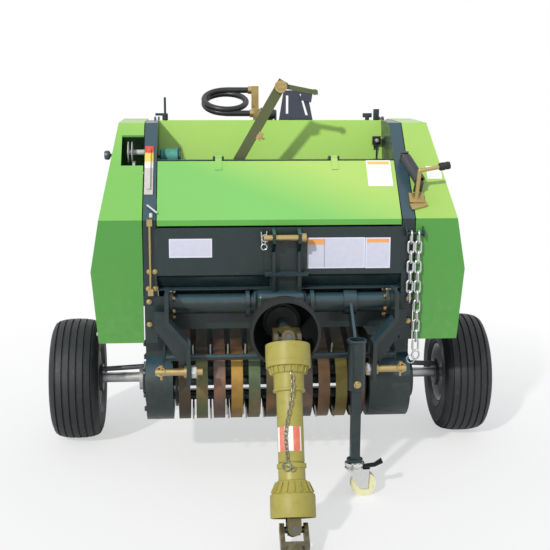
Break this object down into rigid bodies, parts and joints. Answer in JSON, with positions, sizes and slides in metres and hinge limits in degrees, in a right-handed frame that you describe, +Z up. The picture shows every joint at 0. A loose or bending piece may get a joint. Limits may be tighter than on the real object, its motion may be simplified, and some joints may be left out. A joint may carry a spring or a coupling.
{
  "type": "round baler",
  "caption": "Compact three-point round baler with tined pickup, rear gate, twine arm, hanging drive shaft and caster stand.",
  "frame": {"origin": "on the ground, below the middle of the machine's width and length, as parked on its tyres and stand", "axes": "+X to the machine's right as seen from its hitch, +Y from the hitch to the gate, +Z up"},
  "size_m": [1.485, 1.4542, 1.2255],
  "materials": {
    "cover_green": "gloss",
    "hood_green": "gloss",
    "panel_green": "gloss",
    "frame_paint": "gloss",
    "gearbox_paint": "satin",
    "black_plastic": "matte",
    "yoke_paint": "satin",
    "roller_steel": "worn",
    "steel": "machined",
    "zinc": "zinc plated",
    "chromate": "yellow chromate",
    "black_paint": "satin",
    "tower_paint": "satin",
    "twine_teal": "wound twine",
    "hose_rubber": "smooth",
    "chrome_rod": "polished",
    "olive_paint": "satin",
    "tine_steel": "spring steel",
    "caster_cream": "moulded",
    "guard_olive": "moulded",
    "tyre": "ribbed",
    "rim": "silver"
  },
  "bodies": {
    "baler": {"side_frame_left": "frame_paint", "side_frame_right": "frame_paint", "stub_axles": "steel", "chamber_rollers": "roller_steel", "side_cover_left": "cover_green", "side_cover_right": "cover_green", "front_panel": "frame_paint", "back_panel": "panel_green", "cross_beams": "frame_paint", "cross_tube": "frame_paint", "gearbox": "gearbox_paint", "drive_guard": "black_plastic", "input_yoke": "yoke_paint", "hitch_brackets": "frame_paint", "lower_link_pins": "zinc", "top_link_bracket": "frame_paint", "top_link_pin": "zinc", "pickup_case_left": "frame_paint", "pickup_case_right": "frame_paint", "strippers": "chromate", "pickup_beams": "frame_paint", "pickup_front_bar": "black_paint", "stand_sleeve": "frame_paint", "twine_arm_bracket": "black_paint", "twine_tower": "tower_paint", "density_spring": "black_paint", "density_crank": "zinc", "density_gauge": "zinc", "pull_rod": "zinc", "lever_knobs": "black_paint", "twine_ball": "twine_teal", "sheave": "steel", "hose_bracket": "zinc", "hose_coil": "hose_rubber", "chain_hook": "zinc", "check_chain": "zinc"},
    "ram_barrel": {"ram_barrel": "black_paint"},
    "ram_rod": {"ram_rod": "chrome_rod"},
    "gate": {"gate_frame": "frame_paint", "gate_rollers": "roller_steel", "gate_cover_left": "cover_green", "gate_cover_right": "cover_green"},
    "hood": {"hood": "hood_green"},
    "twine_arm": {"twine_arm": "olive_paint", "twine_tensioner": "zinc"},
    "pickup_reel": {"pickup_reel": "tine_steel"},
    "stand_leg": {"stand_leg": "steel"},
    "caster_fork": {"caster_fork": "chrome_rod"},
    "caster_wheel": {"caster_wheel": "caster_cream"},
    "rear_cross": {"rear_cross": "steel"},
    "shaft_rear": {"shaft_rear": "guard_olive"},
    "shaft_front": {"shaft_front": "guard_olive"},
    "front_cross": {"front_cross": "steel"},
    "tail_yoke": {"tail_yoke": "yoke_paint"},
    "wheel_left": {"tyre_left": "tyre", "wheel_left": "rim"},
    "wheel_right": {"tyre_right": "tyre", "wheel_right": "rim"}
  },
  "joints": [
    {"name": "wheel_left_spin", "type": "hinge", "parent": "baler", "child": "wheel_left", "pos_m": [-0.66, 0.287, 0.205], "axis": [1, 0, 0], "continuous": true},
    {"name": "wheel_right_spin", "type": "hinge", "parent": "baler", "child": "wheel_right", "pos_m": [0.66, 0.287, 0.205], "axis": [1, 0, 0], "continuous": true},
    {"name": "gate_swing", "type": "hinge", "parent": "baler", "child": "gate", "pos_m": [0, 0.351, 1.068], "axis": [1, 0, 0], "range_deg": [0, 60]},
    {"name": "ram_tilt", "type": "hinge", "parent": "baler", "child": "ram_barrel", "pos_m": [0, 0.317, 1.104], "axis": [1, 0, 0], "range_deg": [0, 55.5]},
    {"name": "ram_stroke", "type": "slide", "parent": "ram_barrel", "child": "ram_rod", "axis": [0, -0.9986, 0.0533], "range_m": [0, 0.04694]},
    {"name": "hood_open", "type": "hinge", "parent": "baler", "child": "hood", "pos_m": [0, 0.035, 0.983], "axis": [-1, 0, 0], "range_deg": [0, 80]},
    {"name": "twine_arm_swing", "type": "hinge", "parent": "baler", "child": "twine_arm", "pos_m": [-0.14, 0.087, 0.93], "axis": [0, -1, 0], "range_deg": [0, 45]},
    {"name": "pickup_spin", "type": "hinge", "parent": "baler", "child": "pickup_reel", "pos_m": [0, -0.013, 0.28], "axis": [1, 0, 0], "continuous": true},
    {"name": "stand_slide", "type": "slide", "parent": "baler", "child": "stand_leg", "axis": [0, 0, 1], "range_m": [0, 0.12]},
    {"name": "caster_swivel", "type": "hinge", "parent": "stand_leg", "child": "caster_fork", "pos_m": [0.215, -0.285, 0.1], "axis": [0, 0, 1], "continuous": true},
    {"name": "caster_spin", "type": "hinge", "parent": "caster_fork", "child": "caster_wheel", "pos_m": [0.241, -0.285, 0.0375], "axis": [0, 1, 0], "continuous": true},
    {"name": "shaft_lift", "type": "hinge", "parent": "baler", "child": "rear_cross", "pos_m": [0, -0.413, 0.52], "axis": [-1, 0, 0], "range_deg": [0, 75]},
    {"name": "shaft_sweep", "type": "hinge", "parent": "rear_cross", "child": "shaft_rear", "pos_m": [0, -0.413, 0.52], "axis": [0, -0.891, 0.454], "range_deg": [-30, 30]},
    {"name": "shaft_extend", "type": "slide", "parent": "shaft_rear", "child": "shaft_front", "axis": [0, -0.454, -0.891], "range_m": [0, 0.12]},
    {"name": "front_cross_turn", "type": "hinge", "parent": "shaft_front", "child": "front_cross", "pos_m": [0, -0.6468, 0.06113], "axis": [0, -0.891, 0.454], "range_deg": [-30, 30]},
    {"name": "tail_yoke_turn", "type": "hinge", "parent": "front_cross", "child": "tail_yoke", "pos_m": [0, -0.6468, 0.06113], "axis": [-1, 0, 0], "range_deg": [-70, 25]}
  ],
  "couplings": [
    {"joint": "ram_tilt", "follows": "gate_swing", "ratio": 0.925},
    {"joint": "ram_stroke", "follows": "gate_swing", "m_per_rad": 0.044824}
  ]
}
